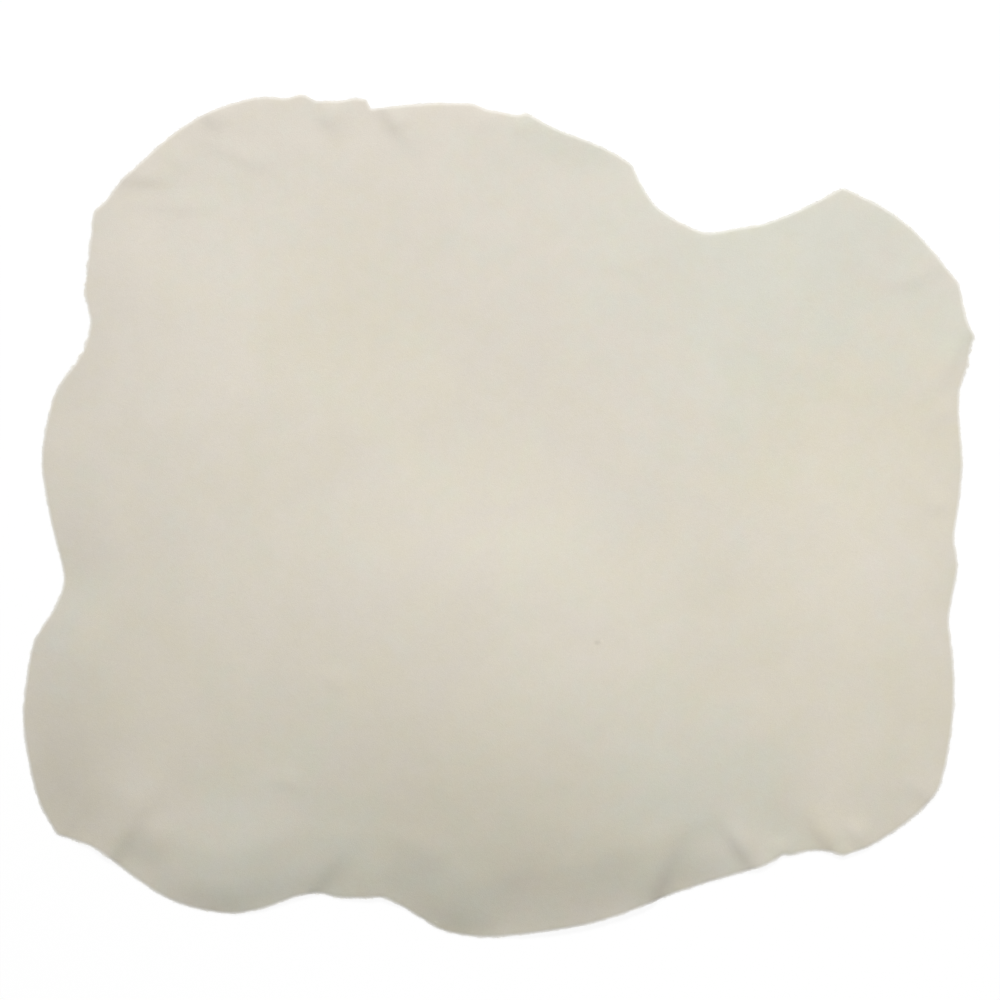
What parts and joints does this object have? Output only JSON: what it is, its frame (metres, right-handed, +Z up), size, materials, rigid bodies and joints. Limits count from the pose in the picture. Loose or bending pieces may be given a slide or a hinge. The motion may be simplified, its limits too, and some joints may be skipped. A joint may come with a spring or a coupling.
{
  "type": "chamois leather",
  "caption": "Natural chamois leather for washing and drying: one thin, soft oil-tanned skin with its own irregular outline, laid out flat.",
  "frame": {"origin": "on the surface that the skin lies on, below the middle of its overall width and length", "axes": "+Z up from the surface through the smooth upper face, +X across the skin's width, +Y up its length"},
  "size_m": [0.617, 0.546, 0.0172],
  "materials": {
    "chamois": "matte suede, fine short nap, pale cream"
  },
  "bodies": {
    "root": {"chamois_skin": "chamois"}
  },
  "joints": []
}
